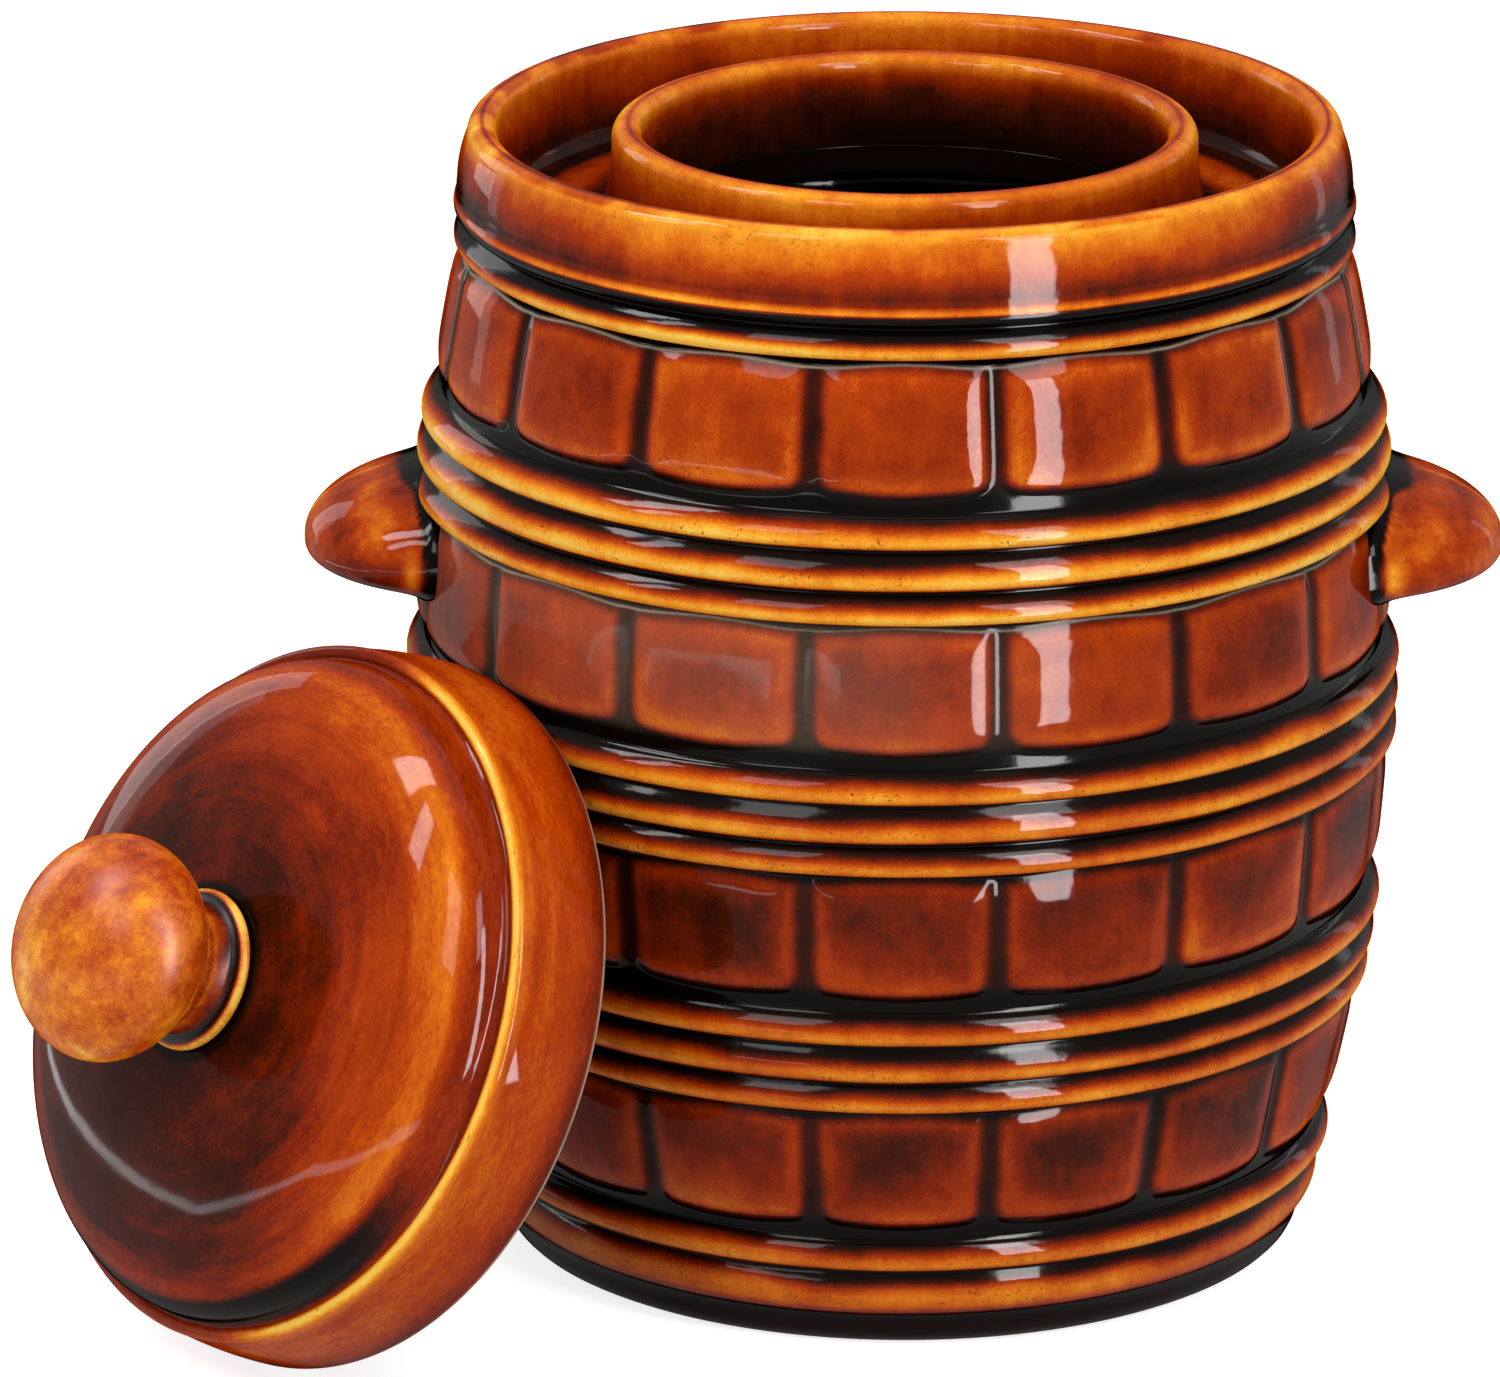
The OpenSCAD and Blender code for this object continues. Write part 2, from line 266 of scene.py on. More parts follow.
# Depth of glaze on a hoop at shares of its height: black in the groove below, at once bright
# amber, then over orange and red a slow darkening to the groove above.
HOOP_GLAZE = {
    "low": (
        [0, 0.03, 0.07, 0.11, 0.30, 0.44, 0.56, 0.68, 0.82, 1],
        [1, 1, 0.5, 0.12, 0.06, 0.2, 0.4, 0.62, 0.86, 1],
    ),
    "mid": (
        [0, 0.05, 0.09, 0.13, 0.30, 0.42, 0.52, 0.63, 0.76, 1],
        [1, 1, 0.5, 0.12, 0.04, 0.14, 0.34, 0.58, 0.9, 1],
    ),
    "top": (
        [0, 0.04, 0.08, 0.12, 0.30, 0.46, 0.60, 0.74, 0.90, 1],
        [1, 1, 0.5, 0.12, 0.05, 0.16, 0.34, 0.56, 0.88, 1],
    ),
    "foot": (
        [0, 0.05, 0.15, 0.28, 0.52, 0.68, 0.84, 1],
        [1, 0.9, 0.44, 0.14, 0.10, 0.28, 0.78, 1],
    ),
}
HOOP_SHARES = [0, 0.03, 0.07, 0.11, 0.17, 0.24, 0.32, 0.40, 0.48, 0.56, 0.64, 0.72, 0.80, 0.88, 0.95]


def stave_columns():
    """Angles of the barrel's columns: close together beside the grooves between two panels."""
    half = np.pi / staves
    aside = np.array([0, 0.8, 1.5, 2.1, 2.8, 3.7, 5.0, 7.2, 10.6, 15.2]) / belly_r
    one = np.concatenate([aside, [half], 2 * half - aside[:0:-1]])
    grooves = -np.pi / 2 + half + 2 * half * np.arange(staves)
    return (grooves[:, None] + one[None, :]).ravel()


def hoop_rows(z0, h, kind, angles):
    """Radius, height, glaze and bareness of one hoop: a round bead whose amber wanders a little.

    From the upper hoops down to the lower ones the glaze lies deeper.
    """
    paler_above, darkest_at = 178, 90
    t = np.array(HOOP_SHARES)[:, None]
    z = z0 + h * t + 0 * angles
    wander = 0.05 * drift(angles, z0, int(z0 * 10), 9) + 0.03 * drift(angles, z0, int(z0) + 7, 31)
    upper = smooth(t, 0.15, 0.6)
    depth = np.interp(t + wander * (0.3 * (t > 0) + upper), *HOOP_GLAZE[kind])
    lower = smooth(z0, paler_above, darkest_at)
    depth = depth + (1 - depth) * (0.17 + 0.06 * drift(angles, z, int(z0) + 5)) * lower
    return stave_r(z) - hoop_drop(t), z, depth, 0 * z


# Heights of a panel row's rings above the row's foot, close together at the panels' two ends
PANEL_OFFSETS = [
    0.2, 0.9, 1.7, 2.4, 3.0, 3.5, 4.0, 4.5, 5.0, 5.6, 6.3, 7.3, 9.0, 11.5, 14.5, 17.5, 20.5, 23.5,
    26, 27.6, 28.6, 29.2, 29.7, 30.1, 30.5, 30.9, 31.3, 31.7,
]


def panel_inside(x, half_w, offsets):
    """Distance inside a panel's edge, at x beside its middle and at an offset above the row's foot.

    A panel is a rectangle round the barrel with round lower corners, whose foot hangs down in
    the middle and whose head rises there.
    """
    foot_corner, head_corner = 3.4, 1.0
    foot_sag, head_rise = 1.5, 0.3
    share = np.clip(x / half_w, -1, 1) ** 2
    low = band_under - 0.4 + foot_sag * share
    high = row_h - 0.75 - head_rise * share
    middle = (low + high) / 2
    corner = np.where(offsets < middle, foot_corner, head_corner)
    qx = np.abs(x) - (half_w - corner)
    qy = np.abs(offsets - middle) - ((high - low) / 2 - corner)
    outside = np.hypot(np.maximum(qx, 0), np.maximum(qy, 0))
    return corner - outside - np.minimum(np.maximum(qx, qy), 0)


def panel_sink(e, offsets):
    """How far a panel row lies inside the staves' curve: the face sinks along an S curve of e."""
    fall = 0.4 + 0.7 * smooth(offsets, 8, 3)
    drop = panel_drop + 1.0 * (1 - smooth(e, -1.5, 7)) + fall * (1 - smooth(e, -1.9, 1.6))
    return drop + 0.4 * smooth(offsets, 27, 31)


def panel_glaze(row, e, offsets, angles, stave):
    """Depth of glaze at a distance e inside a panel's edge: dark, then amber, then rust.

    Each panel has its own tint and its own width of amber, and the two lower rows are darker
    towards their heads. Between the panels the glaze has pooled.
    """
    z0 = first_row_z + row * row_pitch
    rng = np.random.default_rng(40 + row)
    tint = rng.uniform(-0.06, 0.06, staves)[stave % staves]
    broad = 1 + 0.5 * (3 - row) / 3 + 0.3 * rng.uniform(-1, 1, staves)[stave % staves]
    side_gap = 0.84 + 0.03 * drift(angles, z0, 90 + row, 5)
    at_ends = np.maximum(smooth(offsets, 6.5, 4.2), smooth(offsets, 29.8, 31.2))
    beyond = side_gap + (1 - side_gap) * at_ends
    near = np.interp(e, [-1.7, -0.8, 0.1, 1.1, 2.6], [1, 0.95, 0.66, 0.26, 0])
    inward = np.maximum(e - 0.9, 0) / broad
    rust = 0.55 + 0.018 * (3 - row)
    face = np.interp(inward, [0, 0.6, 1.8, 3.6, 6.5, 9], [0, 0.04, 0.36, 0.70, 0.92, 0.96])
    amber = 0.36 - 0.08 * smooth(offsets, 15, 5) + 0.02 * (3 - row)
    blotch = 0.05 * drift(angles * 3, z0 + offsets * 4, 70 + row, 9) * smooth(e, 2, 7)
    depth = amber + tint + (rust - amber) * face + blotch
    depth = depth + 0.22 * smooth(offsets, 28.0, 31.0) * smooth(e, -1, 1)
    depth = depth + 0.13 * smooth(offsets, 11, 27) * smooth(e, 1, 4) * (row < 2)
    return depth + (beyond - depth) * near


def panel_rows(row, angles):
    """Radius, height, glaze and bareness of one row of stave panels.

    The head of the row waves from stave to stave, and along the heads of the two upper rows a
    thin pale line, given as bareness, is a painted reflection.
    """
    z0 = first_row_z + row * row_pitch
    offsets = np.array(PANEL_OFFSETS)[:, None]
    half_turn = np.pi / staves
    stave = np.floor((angles + np.pi / 2 + half_turn) / (2 * half_turn)).astype(int)
    from_middle = angles + np.pi / 2 - stave * 2 * half_turn
    middle_r = stave_r(z0 + row_h / 2)
    e = panel_inside(from_middle * middle_r, half_turn * middle_r - groove_half, offsets)
    wave = np.cos(staves * (angles + np.pi / 2 + half_turn))
    z = z0 + offsets - 0.55 * wave * smooth(offsets, 24, 31)
    # A thin pale line along the heads of the two upper rows, given as bareness: a painted reflection.
    skin = np.exp(-((offsets - 30.9) / 0.25) ** 2) * (0.85 if row > 1 else 0.0)
    skin = skin * (0.75 + 0.25 * drift(angles, z0, 80 + row, 13))
    depth = panel_glaze(row, e, offsets, angles, stave)
    return stave_r(z) - panel_sink(e, offsets), z, depth, np.clip(skin, 0, 0.9)


def barrel_features():
    """What lies on the barrel from its foot to its shoulder: place, height and kind of each."""
    features = [(foot_h, foot_hoop_h, "foot"), (foot_h + foot_hoop_h, hoop_h, "top")]
    for row in range(rows):
        features.append((row, None, "panels"))
        if row < rows - 1:
            top = first_row_z + row * row_pitch + row_h
            features.append((top, hoop_h, "low"))
            features.append((top + hoop_h, mid_hoop_h, "mid"))
            features.append((top + hoop_h + mid_hoop_h, hoop_h, "top"))
    return features


def all_round(part, angles):
    """The radii, heights, depths and bareness of a stretch, each spread over the angles."""
    return [part[:, [k]] + 0 * angles for k in range(4)]


def milky_bloom(r, z, angles):
    """A painted reflection: a thin pale sheen, given as bareness, on the third row's panels at the front
    left.
    """
    bloom_at = np.radians(-128)
    to_left = np.cos(angles - bloom_at)
    bloom = 0.04 * smooth(to_left, 0.50, 0.66) + 0.05 * smooth(to_left, 0.72, 0.80)
    return bloom * smooth(z, 138.5, 141.5) * smooth(z, 168.5, 167.0) * smooth(r, 95, 98)


def barrel_surface():
    """The barrel: foot, hoops and panels outside, then over the shoulder and down the inside."""
    angles = stave_columns()[None, :]
    foot_r = stave_r(foot_h) - foot_inset
    flat_r = np.array([20, 50, 75, foot_r - foot_round - 1.0])
    under = stretch(flat_r, 0.0, 0.9, 1.0)
    r, z = arc((foot_r - foot_round, foot_round), foot_round, -90, 0, 6)
    edge = stretch(r, z, 0.9, np.linspace(1, 0, 6) > 0.75)
    parts = [all_round(part, angles) for part in (under, edge)]
    for place, height, kind in barrel_features():
        if kind == "panels":
            parts.append(panel_rows(place, angles))
        else:
            parts.append(hoop_rows(place, height, kind, angles))
    # The inside wall, its round corner and the floor are painted dark: painted shade inside the jar.
    wall_low = floor_t + corner_r
    down = np.linspace(shoulder_z, wall_low, 10)
    inner = stretch(stave_r(down) - barrel_wall, down, 0.86)
    r, z = arc((stave_r(floor_t) - barrel_wall - corner_r, wall_low), corner_r, 0, -90, 6)
    floor_edge = stretch(r, z, 0.9)
    floor = stretch(np.array([60, 40, 18]), floor_t, 0.8)
    parts += [all_round(part, angles) for part in (inner, floor_edge, floor)]
    r, z, depth, clay = (np.concatenate([part[k] for part in parts]) for k in range(4))
    wobble = 0.18 * drift(angles, z, 3, 4) * smooth(r, 80, 95)
    # A painted reflection, a pale sheen on the third row's panels, goes into the bareness.
    clay = clay + milky_bloom(r, z, angles)
    return shell("glazed_barrel", turned(r + wobble, z, angles), depth, clay)


def ring_surface(name, section, seed, columns=320, tone=None):
    """A ring whose closed section is turned about its axis, with a slight wander of its glaze.

    tone, where it is given, is a function that changes the depths once more.
    """
    angles = np.linspace(0, 2 * np.pi, columns, endpoint=False)[None, :]
    r, z, depth, clay = (section[:, [k]] for k in range(4))
    depth = depth + 0.06 * drift(angles, z * 3, seed) * (depth < 0.9)
    if tone:
        depth = tone(depth, r, z, angles)
    return shell(name, turned(r + 0 * angles, z + 0 * angles, angles), np.clip(depth, 0, 1), clay, True)


def collar_tone(depth, r, z, angles):
    """The collar's wall darkens towards both sides with painted shade, and burnt patches lie along its
    crest.
    """
    low, high = rim_z - 1.6, rim_z - 0.1
    # Painted shade: the wall darkens towards the jar's left and right sides.
    aside = smooth(np.abs(np.cos(angles)), 0.72, 0.98)
    on_wall = smooth(z, low + 1, low - 5) * (r > r.max() - 4) * (depth < 0.9)
    depth = depth + 0.22 * aside * on_wall
    broken = drift(angles, z * 9, 13, 31) + 0.5 * drift(angles, z * 20, 14, 60)
    on_crest = smooth(z, low, (low + high) / 2) * (r > r.max() - 9)
    return depth + 0.2 * smooth(broken, 0.1, 1.1) * on_crest


def collar_hoops(collar_r):
    """The collar's two hoops: a bead, and a flat band under the wall with a thin amber line."""
    t = np.array(HOOP_SHARES)
    low = np.interp(
        t,
        [0, 0.03, 0.07, 0.11, 0.28, 0.42, 0.54, 0.65, 0.76],
        [1, 1, 0.5, 0.12, 0.05, 0.18, 0.45, 0.8, 1],
    )
    high = np.interp(t, [0, 0.36, 0.42, 0.48, 0.60, 0.70, 1], [1, 1, 0.66, 0.22, 0.26, 0.58, 0.70])
    high_drop = np.where(t > 0.38, 0.7 * smooth(t, 0.38, 0.8), hoop_drop(t))
    return [
        stretch(collar_r - hoop_drop(t), shoulder_z + hoop_h * t, low),
        stretch(collar_r - high_drop, shoulder_z + hoop_h * (1 + t), high),
    ]


def collar_surface():
    """Gutter collar: two hoops, the wall that leans in, a round lip, the gutter's wall and floor."""
    collar_r = stave_r(shoulder_z) - collar_step
    lip_r, lip = collar_r - collar_lean, collar_wall / 2
    gutter_r, cove, root = lip_r - collar_wall, 5.0, neck_r + neck_wall + neck_flare
    mouth_z = np.array([gutter_z, gutter_z - 0.2, shoulder_z + 0.2, shoulder_z])
    s = np.linspace(0, 1, 16, endpoint=False)
    wall_r = collar_r - 0.8 - (collar_lean - 0.8) * s ** 2
    wall_depth = np.interp(s, [0, 0.15, 0.38, 0.65, 0.85, 1], [0.66, 0.58, 0.46, 0.36, 0.30, 0.24])
    r_lip, z_lip = arc((lip_r - lip, rim_z - lip), lip, 0, 180, 25)
    lip_depth = np.interp(
        np.linspace(0, 180, 25),
        [0, 45, 70, 84, 92, 100, 130, 180],
        [0.24, 0.14, 0.14, 0.35, 0.6, 0.26, 0.22, 0.32],
    )
    down = np.linspace(rim_z - lip, gutter_z + cove, 12)[1:-1]
    down_depth = np.interp(rim_z - down, [3, 7, 10, 13, 17], [0.32, 0.42, 0.52, 0.62, 0.72])
    r_cove, z_cove = arc((gutter_r - cove, gutter_z + cove), cove, 0, -90, 8)
    floor_r = np.linspace(gutter_r - cove, root, 8)[1:]
    floor_depth = np.interp(floor_r - root, [0, 3, 8, 13, 17], [0.85, 0.66, 0.40, 0.46, 0.7])
    section = np.concatenate([
        # The inside face under the neck ring is near black: painted shade inside the mouth.
        stretch(neck_r, mouth_z, 0.95),
        *collar_hoops(collar_r),
        stretch(wall_r, wall_z + (collar_h - lip) * s, wall_depth),
        stretch(r_lip, z_lip, lip_depth),
        stretch(gutter_r, down, down_depth),
        stretch(r_cove, z_cove, np.linspace(0.76, 0.84, 8)),
        stretch(floor_r, gutter_z, floor_depth),
    ])
    return ring_surface("glazed_gutter_collar", section, 11, tone=collar_tone)


def neck_surface():
    """Neck ring: a wall that flares at its root, a round lip and a bright inside edge, below which
    painted shade darkens the inside.
    """
    outer, lip = neck_r + neck_wall, neck_wall / 2
    t = np.linspace(0, 1, 18)
    wall = outer + neck_flare * (1 - t) ** 3
    z = gutter_z + (neck_z - lip - gutter_z) * t
    depth = np.interp(t, [0, 0.12, 0.3, 0.55, 0.8, 1], [1, 0.88, 0.7, 0.56, 0.42, 0.24])
    r_lip, z_lip = arc((neck_r + lip, neck_z - lip), lip, 8, 180, 24)
    lip_depth = np.interp(
        np.linspace(8, 180, 24),
        [8, 50, 80, 96, 110, 140, 180],
        [0.26, 0.16, 0.3, 0.55, 0.34, 0.24, 0.34],
    )
    # Down the inside the colour darkens to near black: painted shade inside the mouth.
    down = np.append(np.linspace(neck_z - lip, gutter_z + 0.2, 12)[1:], gutter_z)
    down_depth = np.interp(neck_z - down, [3, 5, 8, 12, 16, 21], [0.36, 0.52, 0.68, 0.78, 0.84, 0.9])
    section = np.concatenate([
        stretch(wall, z, depth),
        stretch(r_lip, z_lip, lip_depth),
        stretch(neck_r, down, down_depth),
    ])
    return ring_surface("glazed_neck_ring", section, 23)


def lug_glaze_depth(side, y, z, angles, beyond, seam):
    """Depth of glaze on a lug, at a distance beyond the wall and at a height above its middle.

    Glaze has pooled black along the root, amber above it, and a bright bare spot is left at the
    front of the root.
    """
    on_top = smooth(z, 0, 6)
    front = smooth(-y * side, 9, 19)
    spot = front * np.exp(-((beyond - 3.0) / 2.2) ** 2) * smooth(z, -6.5, -2.5) * smooth(z, 7, 1)
    pool_w = 1.0 + (4.2 + 1.2 * drift(angles, z * 3, 33, 9)) * on_top * (1 - front)
    pool = smooth(beyond, pool_w, 0.4 * pool_w)
    depth = 0.58 + 0.11 * drift(angles, z * 4, 31 if side < 0 else 37, 5)
    depth = depth - 0.17 * np.exp(-((beyond - 9) / 4) ** 2) * on_top
    depth = depth - 0.16 * smooth(beyond, 16, 22) + 0.12 * smooth(z, -1, -6)
    depth = np.clip(depth - 0.42 * spot - 0.22 * seam, 0, 1)
    return np.clip(depth + (1 - depth) * pool, 0, 1)


def lug_surface(name, side):
    """A lug: an elliptic dome over a flat underside, turned about an upright axis in the wall.

    Its underside is (r / radius)^3 + (z / depth)^3 = 1, and its top the same with squares.
    Points nearer than the wall's middle are moved out to it. Near the wall the lug swells up
    and down into a soft root, and a fine seam runs out along its top.
    """
    axis_x = stave_r(lug_z) + lug_out - lug_r
    flatness = 2 / 3
    a = np.radians(np.linspace(2, 90, 26))[:, None]
    b = np.radians(np.linspace(0, 88, 40))[1:, None]
    r = np.vstack([lug_r * np.sin(a) ** flatness, lug_r * np.cos(b)])
    z = np.vstack([-lug_under * np.cos(a) ** flatness, lug_top * np.sin(b)])
    angles = np.radians(np.linspace(-180, 180, 180, endpoint=False))[None, :]
    x = axis_x + r * np.cos(angles)
    y = r * np.sin(angles)
    z = z + 0 * angles
    reach = np.hypot(x, y)
    wall = stave_r(lug_z + z)
    beyond = reach - wall
    root = np.exp(-np.clip(beyond + 1.0, 0, None) / 2.2)
    z = z + root * np.where(z > 0, 1.6, -1.4) * smooth(reach, wall - 7, wall - 1)
    seam = np.exp(-(y / 0.55) ** 2) * smooth(z, 2, 6) * smooth(beyond, 3, 6)
    z = z + 0.35 * seam
    pull = np.maximum((wall - 6.0) / np.maximum(reach, 1.0), 1.0)
    x, y = x * pull, y * pull
    depth = lug_glaze_depth(side, y, z, angles, beyond, seam)
    return shell(name, np.stack([side * x, side * y, z + lug_z], axis=-1), depth, 0.0)


def lid_frame():
    """The leaning lid's axes as rows, and the middle of its rim: its axis is the lift's axis."""
    lift = next(joint for joint in frame["joints"] if joint["name"] == "lid_lift")
    up = np.array(lift["axis"], float)
    up /= np.linalg.norm(up)
    level = np.cross([0, 0, 1], up)
    level /= np.linalg.norm(level)
    axes = np.array([np.cross(level, up), level, up])
    mesh = frame["nodes"]["lid_cover"].data
    co = np.zeros(len(mesh.vertices) * 3)
    mesh.vertices.foreach_get("co", co)
    along = co.reshape(-1, 3) @ axes.T / MM
    middle = (along.min(0) + along.max(0)) / 2
    middle[2] = along[:, 2].min()
    return axes, middle @ axes


def dome(r):
    """Height of the dome's outer face at a radius: z = foot + height (1 - (1 - t)^1.25)^0.36."""
    t = np.clip((dome_r - r) / (dome_r - seat_r), 0, 1)
    return dome_z + dome_h * (1 - (1 - t) ** 1.25) ** 0.36


def lid_rings(r, angle):
    """Uneven rings of the brush on the lid: sines along the radius that drift with the angle."""
    rng = np.random.default_rng(57)
    total = 0
    for length in (37.0, 23.0, 15.0, 9.0, 6.0, 4.0, 2.7):
        turns = rng.integers(1, 4)
        phase, sway = rng.uniform(0, 2 * np.pi, 2)
        total = total + np.sin(2 * np.pi * r / length + 1.6 * np.sin(turns * angle + sway) + phase)
    return total / 4


def dome_section():
    """The dome's section from its foot inwards, its rings closer together at the foot."""
    inward = np.linspace(0, 1, 96)[1:] ** 1.6
    r = dome_r + (seat_r - dome_r) * inward
    depth = np.interp(
        r,
        [seat_r, 20, 26, 33, 40, 48, 56, 63, 68, 70.5],
        [1, 0.82, 0.74, 0.71, 0.65, 0.58, 0.49, 0.38, 0.27, 0.28],
    )
    wall_depth, wall_top, wall_foot = 0.54, 36.0, 31.0
    steep = smooth(dome(r), wall_top, wall_foot)
    return stretch(r, dome(r), depth + (wall_depth - depth) * steep)


def lid_section():
    """The lid's section from its ceiling over skirt, ridge and channel to the dome's middle.

    It comes with the count of rows that belong to the dome.
    """
    inner_r = np.linspace(seat_r, ceiling_r, 14)
    cone_r = np.array([skirt_in_r - 0.4, skirt_in_r, skirt_in_r])
    cone_z = np.array([skirt_h / 2 + 1.2, skirt_h / 2 - 1, skirt_h / 4])
    r_in, z_in = arc((skirt_in_r + skirt_round, skirt_round), skirt_round, 180, 270, 8)
    r_out, z_out = arc((lid_r - skirt_round, skirt_round), skirt_round, -90, 0, 12)
    rim_bare = smooth(np.linspace(-90, 0, 12), -12, -24)
    s = np.linspace(0, 1, 24)[1:-1]
    skirt_r = lid_r - (lid_r - ridge_r + 0.4) * s ** 2
    skirt_z = skirt_round + (skirt_h - ridge_bead - skirt_round) * s
    skirt_depth = np.interp(s, [0, 0.10, 0.3, 0.65, 0.85, 1], [0.62, 0.52, 0.42, 0.40, 0.46, 0.34])
    r_ridge, z_ridge = arc((ridge_r - ridge_bead, skirt_h - ridge_bead), ridge_bead, 0, 130, 20)
    ridge_depth = np.interp(
        np.linspace(0, 130, 20),
        [0, 25, 48, 60, 82, 94, 106, 130],
        [0.34, 0.25, 0.12, 0.0, 0.0, 0.18, 0.42, 0.6],
    )
    dome_part = dome_section()
    section = np.concatenate([
        stretch(inner_r, dome(inner_r) - dome_wall, 0.8),
        stretch(cone_r, cone_z, 0.8),
        stretch(r_in, z_in, 0.6, np.linspace(0, 1, 8) > 0.4),
        stretch(r_out, z_out, 0.6, rim_bare),
        stretch(skirt_r, skirt_z, skirt_depth),
        stretch(r_ridge, z_ridge, ridge_depth),
        dome_part,
    ])
    return section, len(dome_part)


def lid_tone(depth, r, z, angles, on_dome):
    """The lid's depth of glaze by angle, with painted shade, counted from its lowest point to the
    photograph's right.

    The dome is golden at that side, near its foot, and dark round the knob. Painted shade darkens
    its far side and its lower side. The ridge is bright on the same side, and glaze has pooled in
    the channel low at the right.
    """
    golden_at, low_at, bright_at, pool_at = np.radians([118, -12, 96, 18])
    golden = smooth(np.cos(angles - golden_at), -0.35, 0.75)
    # Painted shade on the dome's far side, added to the uneven rings of the brush.
    shade = 0.15 * (1 - golden) * smooth(r, 20, 50) + 0.04 * lid_rings(r, angles) * smooth(r, 19, 26)
    # Painted shade on the dome's lower side.
    low_side = smooth(np.cos(angles - low_at), 0.0, 0.9)
    depth = depth + on_dome * (shade + 0.15 * low_side * smooth(r, 24, 46))
    bright = smooth(np.cos(angles - bright_at), 0.1, 0.42)
    on_ridge = np.exp(-((r - 74.5) / 2.2) ** 2) * smooth(z, 15, 22) * ~on_dome
    depth = depth + (0.55 - depth) * on_ridge * (1 - bright)
    darkest = 0.76 + 0.24 * smooth(r, 20.5, 18.5)
    depth = np.where(on_dome, np.minimum(depth, darkest), depth)
    pooled = smooth(np.cos(angles - pool_at), 0.5, 0.95)
    depth = depth + on_dome * 0.4 * pooled * smooth(r, 68.0, 71.0)
    return np.clip(depth + 0.05 * drift(angles, z * 4, 51, 7), 0, 1)


def lid_surface(place):
    """The lid's cover: ceiling, skirt, round ridge, a narrow channel and the dome."""
    section, dome_rows = lid_section()
    angles = np.linspace(0, 2 * np.pi, 360, endpoint=False)[None, :]
    r, z, depth, clay = (section[:, [k]] for k in range(4))
    on_dome = np.arange(len(section))[:, None] >= len(section) - dome_rows
    depth = lid_tone(depth, r, z, angles, on_dome)
    points = turned(r + 0 * angles, z, angles)
    return shell("glazed_lid_cover", points, depth, clay, False, place, brushed(points, angles))


def knob_surface(place):
    """The knob: a bead round the stem's foot, a fine groove, the stem and the flattened ball."""
    half = stem_bead / 2
    r_a, z_a = arc((seat_r - half, seat_z + half), half, -90, 90, 14)
    a = np.linspace(-90, 90, 14)
    bead_depth = np.interp(a, [-90, -50, -20, 45, 70, 90], [1, 0.8, 0.08, 0.03, 0.5, 0.95])
    t = np.linspace(0, 1, 14)[1:-1]
    stem_z = seat_z + stem_bead + (stem_h - stem_bead) * t
    stem = stem_r + 0.2 - 0.7 * np.sin(np.pi * t)
    stem_depth = np.interp(t, [0, 0.15, 0.4, 0.55, 0.7, 0.85, 1], [1, 0.6, 0.44, 0.3, 0.46, 0.3, 0.5])
    b = np.linspace(-np.arccos(stem_r / knob_r), np.radians(88), 70)
    ball_depth = np.interp(
        np.linspace(0, 1, 70),
        [0, 0.05, 0.14, 0.22, 0.5, 1],
        [0.8, 0.32, 0.21, 0.38, 0.29, 0.30],
    )
    section = np.concatenate([
        stretch(np.array([5.0, 10.0]), seat_z, 1.0),
        stretch(r_a, z_a, bead_depth),
        stretch(stem, stem_z, stem_depth),
        stretch(knob_r * np.cos(b), ball_z + knob_h / 2 * np.sin(b), ball_depth),
    ])
    angles = np.linspace(0, 2 * np.pi, 192, endpoint=False)[None, :]
    r, z, depth, clay = (section[:, [k]] for k in range(4))
    depth = np.clip(depth + 0.05 * drift(angles, z * 4, 61, 5), 0, 1)
    return shell("glazed_lid_knob", turned(r + 0 * angles, z, angles), depth, clay, False, place)


def stone_outline(count=72):
    """Half-moon outline: an arc of the stone's radius, the slit's edge and half the finger hole."""
    slit = stone_slit / 2
    far = np.arcsin(slit / stone_r)
    near = np.arcsin(slit / finger_r)
    outer = np.linspace(-np.pi / 2 + far, np.pi / 2 - far, count)
    hole = np.linspace(np.pi / 2 - near, -np.pi / 2 + near, count // 3)
    outer_xy = stone_r * np.stack([np.cos(outer), np.sin(outer)], axis=1)
    hole_xy = finger_r * np.stack([np.cos(hole), np.sin(hole)], axis=1)
    edge = np.linspace(0, 1, 12)[1:-1, None]
    upper = outer_xy[-1] + (hole_xy[0] - outer_xy[-1]) * edge
    lower = hole_xy[-1] + (outer_xy[0] - hole_xy[-1]) * edge
    return np.vstack([outer_xy, upper, hole_xy, lower])


def stone_surface(name, side):
    """A weight stone: its outline stands upright, and its edges draw in along quarter circles."""
    outline = stone_outline()
    ahead, behind = np.roll(outline, -1, 0), np.roll(outline, 1, 0)
    along = ahead - behind
    along /= np.linalg.norm(along, axis=1)[:, None]
    inward = np.stack([-along[:, 1], along[:, 0]], axis=1)
    a = np.radians(np.linspace(0, 90, 7))
    inset = stone_bevel * np.concatenate([1 - np.sin(a), 1 - np.cos(a)])
    height = np.concatenate([stone_bevel * (1 - np.cos(a)), stone_t - stone_bevel * (1 - np.sin(a))])
    xy = outline[None] + inset[:, None, None] * inward[None]
    z = stone_z + height[:, None] + 0 * xy[..., 0]
    points = np.stack([side * xy[..., 0], side * xy[..., 1], z], axis=-1)
    count, columns = points.shape[:2]
    ring = np.arange(columns)
    under, over = ring[::-1], (count - 1) * columns + ring
    faces = ring_quads(count, columns) + [under.tolist(), over.tolist()]
    own = points.reshape(-1, 3)
    no_glaze, all_clay = np.zeros(len(own)), np.ones(len(own))
    piece = mesh_piece(name, own, faces, [no_glaze, all_clay])
    flat = np.ones(len(piece.data.polygons), bool)
    flat[-2:] = False
    piece.data.polygons.foreach_set("use_smooth", flat)
    return piece


